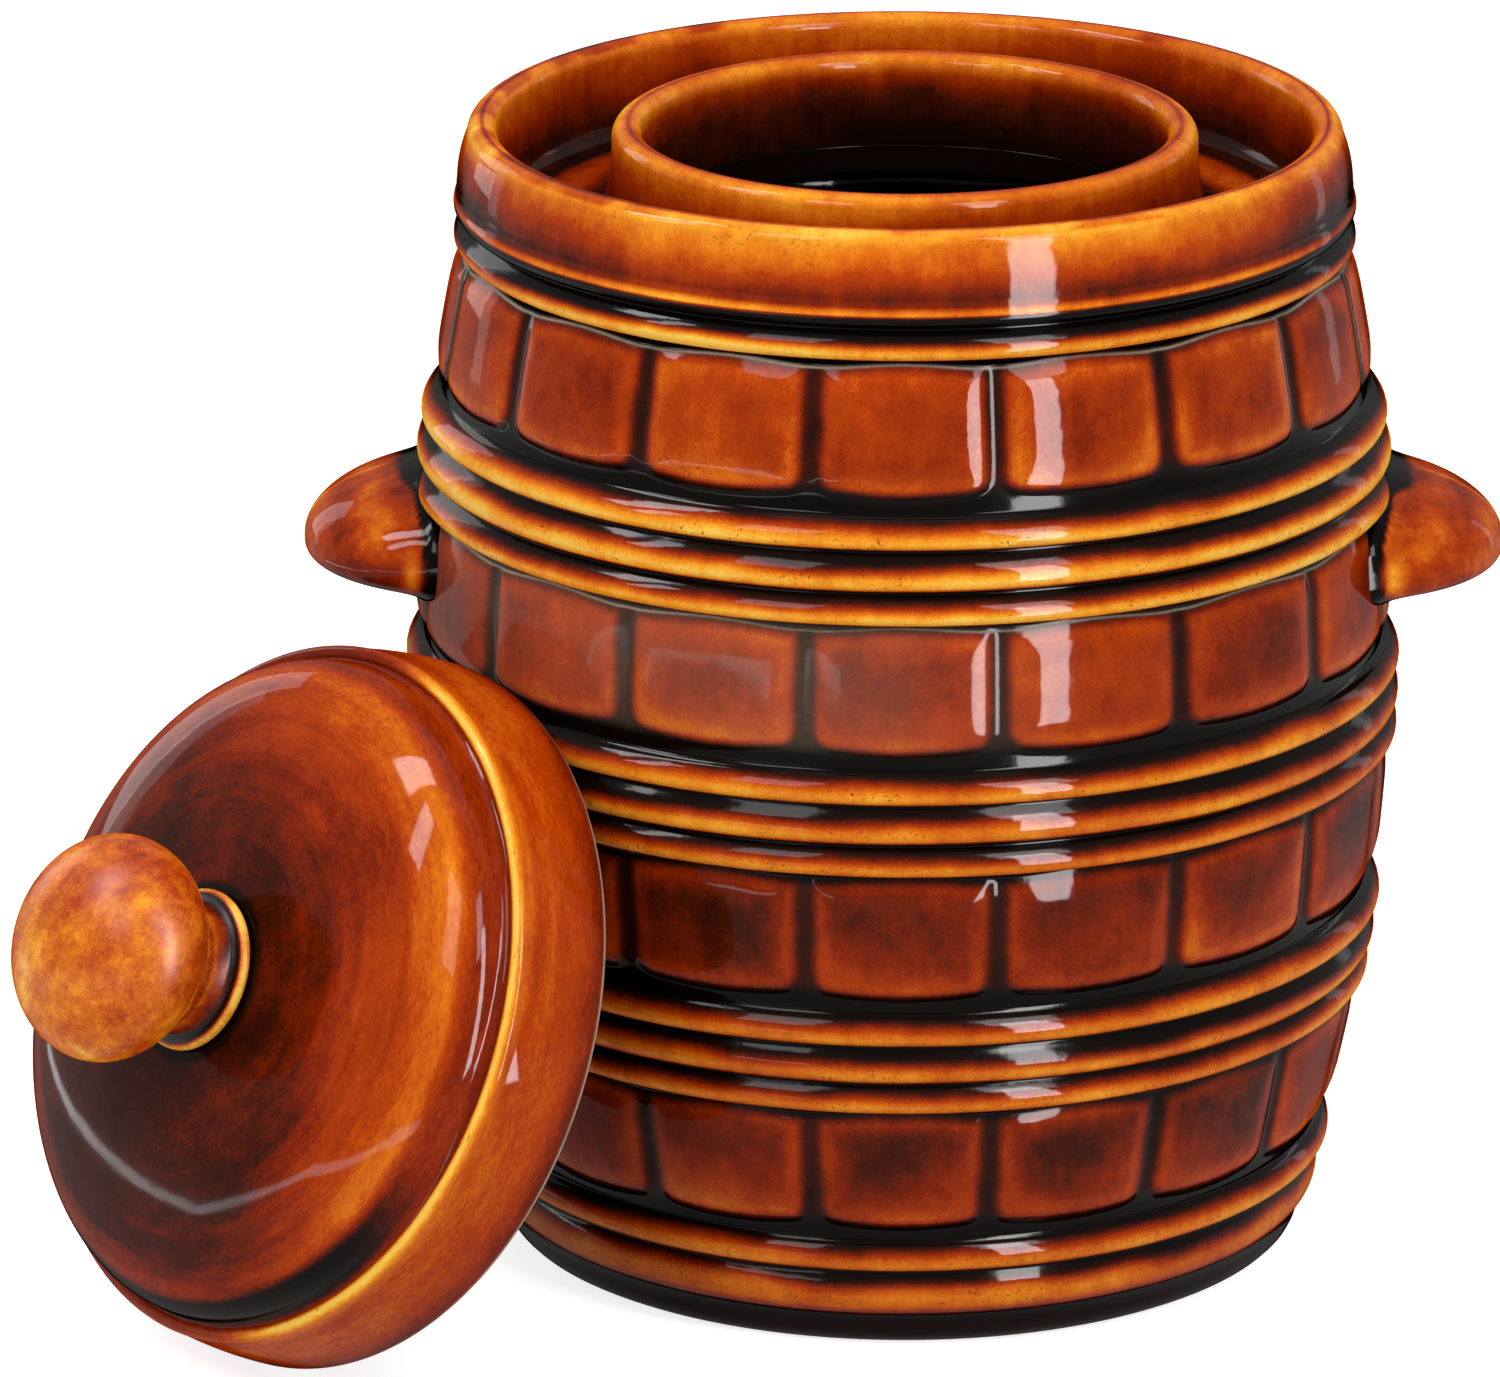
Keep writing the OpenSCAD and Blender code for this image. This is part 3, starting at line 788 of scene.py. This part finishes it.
def colour(rgb):
    """A colour of 255 as the linear colour that a shader takes."""
    c = np.array(rgb) / 255
    value = np.where(c <= 0.04045, c / 12.92, ((c + 0.055) / 1.055) ** 2.4)
    return (*value.tolist(), 1.0)


def add(tree, kind, inputs=None, **settings):
    """A node with its settings, each input given as a value or as the socket that feeds it."""
    made = tree.nodes.new(kind)
    for key, value in settings.items():
        setattr(made, key, value)
    for key, value in (inputs or {}).items():
        if isinstance(value, bpy.types.NodeSocket):
            tree.links.new(value, made.inputs[key])
        else:
            made.inputs[key].default_value = value
    return made


def sum_of(tree, operation, a, b, clamp=False):
    """The result of one operation on two numbers or sockets."""
    return add(tree, "ShaderNodeMath", {0: a, 1: b}, operation=operation, use_clamp=clamp).outputs[0]


def noise(tree, place, scale, detail=2.0, rough=0.5, spread=1.0):
    """Noise of about -0.5 to 0.5 times spread at a place, scale cells to the metre."""
    given = {"Vector": place, "Scale": scale, "Detail": detail, "Roughness": rough}
    made = add(tree, "ShaderNodeTexNoise", given)
    middle = sum_of(tree, "SUBTRACT", made.outputs["Fac"], 0.5)
    return sum_of(tree, "MULTIPLY", middle, spread)


def ramp_mask(tree, value, low, high):
    """A share from 0 to 1 as the value goes from low to high, along an S curve."""
    made = add(tree, "ShaderNodeMapRange", {"Value": value, "From Min": low, "From Max": high})
    made.interpolation_type = "SMOOTHSTEP"
    return made.outputs["Result"]


def mixed_colour(tree, share, first, second):
    """The colour that goes from a first to a second one with a share."""
    return add(tree, "ShaderNodeMix", {0: share, 6: first, 7: second}, data_type="RGBA").outputs[2]


def mixed_value(tree, share, first, second):
    """The number that goes from a first to a second one with a share."""
    return add(tree, "ShaderNodeMix", {0: share, 2: first, 3: second}).outputs[0]


def new_group(name, numbers, vectors, outputs):
    """An empty node group with its named inputs and outputs, and its two end nodes."""
    group = bpy.data.node_groups.new(name, "ShaderNodeTree")
    for key in vectors:
        group.interface.new_socket(name=key, in_out="INPUT", socket_type="NodeSocketVector")
    for key in numbers:
        group.interface.new_socket(name=key, in_out="INPUT", socket_type="NodeSocketFloat")
    for key, kind in outputs.items():
        group.interface.new_socket(name=key, in_out="OUTPUT", socket_type="NodeSocket" + kind)
    return group, group.nodes.new("NodeGroupInput").outputs, group.nodes.new("NodeGroupOutput").inputs


def disturbed_depth(group, given, small):
    """The glaze's depth with clouds, brush streaks and grain, which fade out where it has pooled."""
    place = given["Place"]
    broad = noise(group, place, given["Cloud Scale"], 3.0, 0.55, 2.4)
    drawn = add(group, "ShaderNodeVectorMath", {0: place, 1: (1.0, 1.0, 0.12)}, operation="MULTIPLY")
    streak = noise(group, drawn.outputs[0], 480.0, 4.0, 0.65, 2.0)
    fine = noise(group, place, 1500.0, 2.0, 0.7, 2.0)
    clouds = sum_of(group, "MULTIPLY", sum_of(group, "ADD", broad, small), given["Clouds"])
    streaks = sum_of(group, "MULTIPLY", streak, given["Streaks"])
    grains = sum_of(group, "MULTIPLY", fine, given["Grain"])
    thin = sum_of(group, "SUBTRACT", 1.0, ramp_mask(group, given["Depth"], 0.72, 0.98))
    change = sum_of(group, "ADD", sum_of(group, "ADD", clouds, streaks), grains)
    change = sum_of(group, "MULTIPLY", change, thin)
    return sum_of(group, "ADD", given["Depth"], change, True)


def burnt_specks(group, given, depth):
    """The share of small burnt specks, which gather in clumps where the glaze is thin."""
    grit = noise(group, given["Place"], 1300.0, 2.0, 0.6, 1.0)
    clumps = ramp_mask(group, noise(group, given["Place"], 60.0, 2.0, 0.5, 2.0), -0.5, 0.5)
    reach = sum_of(group, "SUBTRACT", 0.20, sum_of(group, "MULTIPLY", clumps, 0.11))
    dots = ramp_mask(group, sum_of(group, "SUBTRACT", grit, reach), 0.0, 0.09)
    speck = sum_of(group, "MULTIPLY", dots, given["Specks"])
    pale = sum_of(group, "SUBTRACT", 1.0, ramp_mask(group, depth, 0.25, 0.6))
    return sum_of(group, "MULTIPLY", speck, pale)


def glaze_roughness(group, given, small):
    """Glaze is smooth, a little less so where it has pooled."""
    pooled = ramp_mask(group, given["Depth"], 0.55, 0.95)
    even = sum_of(group, "ADD", 0.045, sum_of(group, "MULTIPLY", pooled, 0.05))
    return sum_of(group, "ADD", even, sum_of(group, "MULTIPLY", small, 0.03))


def make_glaze_group():
    """Honey glaze: its colour follows its depth, which clouds, brush streaks and specks disturb."""
    group, given, wanted = new_group(
        "honey_glaze",
        ["Depth", "Clouds", "Cloud Scale", "Streaks", "Specks", "Grain"],
        ["Place"],
        {"Color": "Color", "Roughness": "Float", "Ripple": "Float"},
    )
    fine_scale = sum_of(group, "MULTIPLY", given["Cloud Scale"], 5.0)
    small = noise(group, given["Place"], fine_scale, 3.0, 0.6, 1.0)
    depth = disturbed_depth(group, given, small)
    ramp = add(group, "ShaderNodeValToRGB", {"Fac": depth})
    stops = ramp.color_ramp.elements
    for at, rgb in GLAZE[1:-1]:
        stops.new(at).color = colour(rgb)
    stops[0].color = colour(GLAZE[0][1])
    stops[-1].color = colour(GLAZE[-1][1])
    speck = burnt_specks(group, given, depth)
    tone = mixed_colour(group, speck, ramp.outputs["Color"], colour(BURNT))
    group.links.new(tone, wanted["Color"])
    group.links.new(glaze_roughness(group, given, small), wanted["Roughness"])
    group.links.new(noise(group, given["Place"], 210.0, 2.0, 0.5, 1.0), wanted["Ripple"])
    return group


def make_clay_group():
    """Bare fired clay: a pale ground with clouds, dark grit and a dry grain."""
    group, given, wanted = new_group(
        "bare_clay", [], ["Place"], {"Color": "Color", "Roughness": "Float", "Grain": "Float"}
    )
    clouds = noise(group, given["Place"], 45.0, 4.0, 0.6, 1.0)
    grit = noise(group, given["Place"], 700.0, 3.0, 0.6, 1.0)
    gritty = sum_of(group, "ADD", clouds, sum_of(group, "MULTIPLY", grit, 0.7))
    shade = sum_of(group, "ADD", 0.5, gritty, True)
    darker = tuple(0.6 * c for c in CLAY)
    lighter = tuple(min(255, 1.1 * c) for c in CLAY)
    group.links.new(mixed_colour(group, shade, colour(darker), colour(lighter)), wanted["Color"])
    group.links.new(sum_of(group, "ADD", 0.78, sum_of(group, "MULTIPLY", grit, 0.2)), wanted["Roughness"])
    group.links.new(grit, wanted["Grain"])
    return group


glaze_group = make_glaze_group()
clay_group = make_clay_group()


def empty_material(name):
    """A new material and its node tree, with nothing in it yet."""
    material = bpy.data.materials.new(name)
    material.use_nodes = True
    material.node_tree.nodes.clear()
    return material, material.node_tree


def glazed(name, clouds, cloud_size, streaks, specks, grain, ripple=0.05, haze=0.0, gloss=GLAZE_GLOSS):
    """A glazed material: honey glaze by the mesh's depth, and bare clay where the mesh says so.
    In places the depth holds painted shade, and the clay's pale colour paints a reflection.

    Its gloss fades where the surface turns away, as the photograph's edges stay dark against
    the white, and haze is a roughness that is added to the gloss.
    """
    material, tree = empty_material(name)
    own = add(tree, "ShaderNodeAttribute", attribute_name="own").outputs["Vector"]
    depth = add(tree, "ShaderNodeAttribute", attribute_name="glaze").outputs["Fac"]
    bare = add(tree, "ShaderNodeAttribute", attribute_name="clay").outputs["Fac"]
    glaze = add(tree, "ShaderNodeGroup", node_tree=glaze_group, inputs={
        "Place": own,
        "Depth": depth,
        "Clouds": clouds,
        "Cloud Scale": 1 / (cloud_size * MM),
        "Streaks": streaks,
        "Specks": specks,
        "Grain": grain,
    })
    clay = add(tree, "ShaderNodeGroup", {"Place": own}, node_tree=clay_group)
    tone = mixed_colour(tree, bare, glaze.outputs["Color"], clay.outputs["Color"])
    rough = mixed_value(tree, bare, glaze.outputs["Roughness"], clay.outputs["Roughness"])
    relief = mixed_value(tree, bare, glaze.outputs["Ripple"], clay.outputs["Grain"])
    facing = add(tree, "ShaderNodeLayerWeight", {"Blend": 0.5}).outputs["Facing"]
    faced = sum_of(tree, "SUBTRACT", 1.0, ramp_mask(tree, facing, 0.3, 0.85))
    bump = add(tree, "ShaderNodeBump", {"Height": relief, "Strength": ripple, "Distance": 0.001})
    shader = add(tree, "ShaderNodeBsdfPrincipled", {
        "Base Color": tone,
        "Roughness": sum_of(tree, "ADD", rough, haze),
        "Normal": bump.outputs["Normal"],
        "Specular IOR Level": sum_of(tree, "MULTIPLY", faced, gloss),
    })
    add(tree, "ShaderNodeOutputMaterial", {"Surface": shader.outputs[0]})
    return material


def seen_rays(tree):
    """1 for rays of the camera, of gloss and of transmission, and 0 for the rest."""
    rays = add(tree, "ShaderNodeLightPath").outputs
    some = sum_of(tree, "MAXIMUM", rays["Is Camera Ray"], rays["Is Glossy Ray"])
    return sum_of(tree, "MAXIMUM", some, rays["Is Transmission Ray"])


def make_floor():
    """A pale floor that the camera and reflections see as white, apart from the jar's shadow.

    For their rays it adds a light of its own, so that its lit parts come out white.
    """
    half, below = 6.0, -0.0004
    mesh = bpy.data.meshes.new("floor")
    corners = [(-half, -half, below), (half, -half, below), (half, half, below), (-half, half, below)]
    mesh.from_pydata(corners, [], [(0, 1, 2, 3)])
    floor = in_scene("floor", mesh)
    material, tree = empty_material("pale_floor")
    own_light = sum_of(tree, "MULTIPLY", seen_rays(tree), 0.8)
    pale = add(tree, "ShaderNodeBsdfDiffuse", {"Color": (0.8, 0.8, 0.8, 1)})
    lift = add(tree, "ShaderNodeEmission", {"Color": (1, 1, 1, 1), "Strength": own_light})
    both = add(tree, "ShaderNodeAddShader", {0: pale.outputs[0], 1: lift.outputs[0]})
    add(tree, "ShaderNodeOutputMaterial", {"Surface": both.outputs[0]})
    mesh.materials.append(material)


def make_world(fill=0.45):
    """A soft even fill for the object, and plain white for the camera and for reflections."""
    world = bpy.data.worlds.new("studio")
    bpy.context.scene.world = world
    world.use_nodes = True
    tree = world.node_tree
    tree.nodes.clear()
    extra = sum_of(tree, "MULTIPLY", seen_rays(tree), 1.0 - fill)
    ground = add(tree, "ShaderNodeBackground", {
        "Color": (1, 1, 1, 1),
        "Strength": sum_of(tree, "ADD", extra, fill),
    })
    add(tree, "ShaderNodeOutputWorld", {"Surface": ground.outputs[0]})


def softbox(name, place, aim, width, height, radiance, gloss_only=False):
    """A flat lamp of a given size and radiance at a place, facing a point, unseen by the camera."""
    lamp = bpy.data.lights.new(name, "AREA")
    lamp.shape = "RECTANGLE"
    lamp.size, lamp.size_y = width, height
    lamp.energy = radiance * np.pi * width * height
    lit = in_scene(name, lamp)
    lit.location = place
    lit.rotation_euler = (Vector(aim) - Vector(place)).to_track_quat("-Z", "Y").to_euler()
    lit.visible_camera = False
    lit.visible_diffuse = not gloss_only
    return lit


def bar(name, start, end, aim, width, radiance):
    """A thin lamp from one point to another that faces a third, and that only the gloss shows."""
    start, end, aim = (np.array(p, float) for p in (start, end, aim))
    middle = (start + end) / 2
    length = np.linalg.norm(end - start)
    along = (end - start) / length
    back = middle - aim
    back -= along * (back @ along)
    back /= np.linalg.norm(back)
    lit = softbox(name, middle.tolist(), aim.tolist(), length, width, radiance, gloss_only=True)
    axes = np.array([along, np.cross(back, along), back]).T
    lit.rotation_euler = Matrix(axes.tolist()).to_euler()


def around(azimuth, elevation, distance, centre=(0, 0, 0.13)):
    """A place seen from the centre at an azimuth right of the front and an elevation."""
    a, e = np.radians(azimuth), np.radians(elevation)
    ahead = np.array([np.sin(a) * np.cos(e), -np.cos(a) * np.cos(e), np.sin(e)])
    return (np.array(centre) + distance * ahead).tolist()


def make_lights():
    """Front softboxes, a soft ceiling and two rear strips, and cards that only the gloss shows.

    A row of bars gives the lid the thin bright line that runs across the foot of its dome.
    """
    middle = (0, 0, 0.13)
    softbox("front_left", around(-33, 42, 1.5), middle, 0.40, 0.50, 10.0)
    softbox("front_right", around(33, 42, 1.5), middle, 0.40, 0.50, 10.0)
    softbox("ceiling", (0, 0.1, 1.6), middle, 0.9, 0.9, 1.7)
    softbox("rear_left", around(-125, 8, 1.2), middle, 0.12, 0.7, 2.5)
    softbox("rear_right", around(128, 8, 1.2), middle, 0.10, 0.7, 3.0)
    softbox("gloss_left", around(-33, 42, 1.45), middle, 0.40, 0.50, 9.0, gloss_only=True)
    softbox("gloss_right", around(33, 42, 1.45), middle, 0.40, 0.50, 22.0, gloss_only=True)
    windows = [
        ("right_strip", (0.194, -0.354, 0.21), (0.03, -0.103, 0.21), 0.075, 0.38, 78.0),
        ("window_left", (-0.46, -0.09, 0.76), (-0.11, -0.09, 0.14), 0.11, 0.30, 50.0),
        ("window_mid", (-0.53, -0.24, 0.64), (-0.10, -0.11, 0.13), 0.07, 0.20, 44.0),
        ("window_back", (-0.76, 0.70, 0.42), (-0.15, -0.06, 0.12), 0.26, 0.60, 6.0),
    ]
    for window in windows:
        softbox(*window, gloss_only=True)
    lid_middle = (-0.13, -0.12, 0.06)
    bends = [
        (-0.46, 0.18, 0.003),
        (-0.52, -0.12, 0.004),
        (-0.50, -0.273, 0.073),
        (-0.364, -0.455, 0.09),
        (-0.19, -0.54, 0.066),
    ]
    for k, wide in enumerate((0.010, 0.010, 0.016, 0.036)):
        bar(f"horizon_{k}", bends[k], bends[k + 1], lid_middle, wide, 14.0)


def make_camera():
    """The camera at the photograph's angle, aimed a little left of the jar's axis."""
    focal_px, image_px, sensor = 11000.0, 1500.0, 36.0
    pitch, distance, aim_z, aside = np.radians(17.85), 2.42, 0.1203, -0.03355
    data = bpy.data.cameras.new("camera")
    data.sensor_fit = "HORIZONTAL"
    data.sensor_width = sensor
    data.lens = focal_px / image_px * sensor
    data.clip_end = 30
    camera = in_scene("camera", data)
    camera.location = (0, -distance * np.cos(pitch), aim_z + distance * np.sin(pitch))
    aim = Vector((aside, 0, aim_z)) - camera.location
    camera.rotation_euler = aim.to_track_quat("-Z", "Y").to_euler()
    bpy.context.scene.camera = camera


barrel_glaze = glazed("barrel_glaze", 0.18, 22, 0.05, 0.8, 0.09)
rim_glaze = glazed("rim_glaze", 0.18, 20, 0.07, 0.5, 0.07)
lug_glaze = glazed("lug_glaze", 0.24, 12, 0.03, 0.4, 0.08)
lid_glaze = glazed("lid_glaze", 0.18, 17, 0.0, 0.5, 0.12, 0.02)
knob_glaze = glazed("knob_glaze", 0.34, 12, 0.02, 0.5, 0.14, 0.03, haze=0.30, gloss=0.12)
weight_stone = glazed("weight_stone", 0.0, 30, 0.0, 0.0, 0.0, 0.35)

finish_piece(barrel_surface(), barrel_glaze, "jar", "barrel")
finish_piece(collar_surface(), rim_glaze, "jar", "gutter_collar")
finish_piece(neck_surface(), rim_glaze, "jar", "neck_ring")
finish_piece(lug_surface("glazed_handle_left", -1), lug_glaze, "jar", "handle_left")
finish_piece(lug_surface("glazed_handle_right", 1), lug_glaze, "jar", "handle_right")
lid_place = lid_frame()
finish_piece(lid_surface(lid_place), lid_glaze, "lid", "lid_cover")
finish_piece(knob_surface(lid_place), knob_glaze, "lid", "lid_knob")
finish_piece(stone_surface("stone_left", -1), weight_stone, "stone_left", "weight_left")
finish_piece(stone_surface("stone_right", 1), weight_stone, "stone_right", "weight_right")

make_floor()
make_world()
make_lights()
make_camera()
bpy.context.scene.view_settings.view_transform = "Standard"
